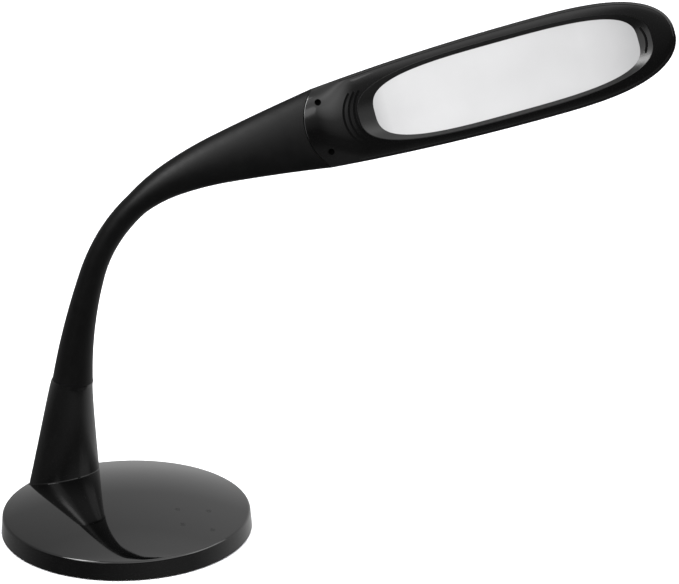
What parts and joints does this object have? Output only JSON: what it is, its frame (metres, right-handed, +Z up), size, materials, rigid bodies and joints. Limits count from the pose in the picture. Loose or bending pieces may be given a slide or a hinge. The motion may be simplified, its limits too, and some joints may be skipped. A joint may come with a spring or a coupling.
{
  "type": "led task lamp",
  "caption": "Desk lamp with a round weighted base, an oval stem, a bendable soft-sleeved neck and a long oval LED head with an opal light panel; touch marks on the base.",
  "frame": {"origin": "middle of the base's underside, on the table", "axes": "+X along the arm's reach as pictured, +Y away from the viewer, +Z up"},
  "size_m": [0.4904, 0.185, 0.3843],
  "materials": {
    "gloss_black": "gloss",
    "soft_black": "matte",
    "pad_rubber": "matte",
    "plate_black": "matte",
    "weight_iron": "matte",
    "steel": "satin",
    "board_green": "satin",
    "touch_copper": "satin",
    "wire_black": "satin",
    "opal": "satin",
    "white": "matte",
    "board_aluminium": "satin",
    "led_yellow": "gloss"
  },
  "bodies": {
    "base": {"foot_pad": "pad_rubber", "base_plate": "plate_black", "base_weight": "weight_iron", "base_cover": "gloss_black", "plate_screws": "steel", "control_board": "board_green", "board_screws": "steel", "touch_pads": "touch_copper", "dc_jack": "plate_black", "power_lead": "wire_black", "stem_shell": "gloss_black", "stem_screws": "steel", "neck_nut": "steel", "neck_core_0": "steel", "neck_sleeve_0": "soft_black", "neck_wire_0": "wire_black"},
    "neck_link_1": {"neck_core_1": "steel", "neck_sleeve_1": "soft_black", "neck_wire_1": "wire_black"},
    "neck_link_2": {"neck_core_2": "steel", "neck_sleeve_2": "soft_black", "neck_wire_2": "wire_black"},
    "neck_link_3": {"neck_core_3": "steel", "neck_sleeve_3": "soft_black", "neck_wire_3": "wire_black"},
    "neck_link_4": {"neck_core_4": "steel", "neck_sleeve_4": "soft_black", "neck_wire_4": "wire_black"},
    "neck_link_5": {"neck_core_5": "steel", "neck_sleeve_5": "soft_black", "neck_wire_5": "wire_black"},
    "neck_link_6": {"neck_core_6": "steel", "neck_sleeve_6": "soft_black", "neck_wire_6": "wire_black"},
    "neck_link_7": {"neck_core_7": "steel", "neck_sleeve_7": "soft_black", "neck_wire_7": "wire_black"},
    "head": {"neck_core_8": "steel", "neck_shoulder": "soft_black", "neck_wire_8": "wire_black", "neck_clamp": "steel", "head_bezel": "gloss_black", "head_cover": "gloss_black", "head_screws": "steel", "diffuser": "opal", "reflector": "white", "led_board": "board_aluminium", "leds": "led_yellow", "heat_plate": "board_aluminium"}
  },
  "joints": [
    {"name": "neck_pitch_1", "type": "hinge", "parent": "base", "child": "neck_link_1", "pos_m": [-0.04014, 0.0513, 0.10912], "axis": [0, 1, 0], "range_deg": [-15, 12]},
    {"name": "neck_sway_1", "type": "hinge", "parent": "neck_link_1", "child": "neck_link_2", "pos_m": [-0.03719, 0.0513, 0.1285], "axis": [0.9849, 0, -0.1732], "range_deg": [-12, 12]},
    {"name": "neck_pitch_2", "type": "hinge", "parent": "neck_link_2", "child": "neck_link_3", "pos_m": [-0.03335, 0.0513, 0.14772], "axis": [0, 1, 0], "range_deg": [-15, 12]},
    {"name": "neck_sway_2", "type": "hinge", "parent": "neck_link_3", "child": "neck_link_4", "pos_m": [-0.02862, 0.0513, 0.16674], "axis": [0.9647, 0, -0.2635], "range_deg": [-12, 12]},
    {"name": "neck_pitch_3", "type": "hinge", "parent": "neck_link_4", "child": "neck_link_5", "pos_m": [-0.02295, 0.0513, 0.18549], "axis": [0, 1, 0], "range_deg": [-15, 12]},
    {"name": "neck_sway_3", "type": "hinge", "parent": "neck_link_5", "child": "neck_link_6", "pos_m": [-0.01496, 0.0513, 0.20337], "axis": [0.8786, 0, -0.4775], "range_deg": [-12, 12]},
    {"name": "neck_pitch_4", "type": "hinge", "parent": "neck_link_6", "child": "neck_link_7", "pos_m": [-0.0043, 0.0513, 0.21979], "axis": [0, 1, 0], "range_deg": [-15, 12]},
    {"name": "neck_sway_4", "type": "hinge", "parent": "neck_link_7", "child": "head", "pos_m": [0.00876, 0.0513, 0.23438], "axis": [0.6911, 0, -0.7228], "range_deg": [-12, 12]}
  ]
}
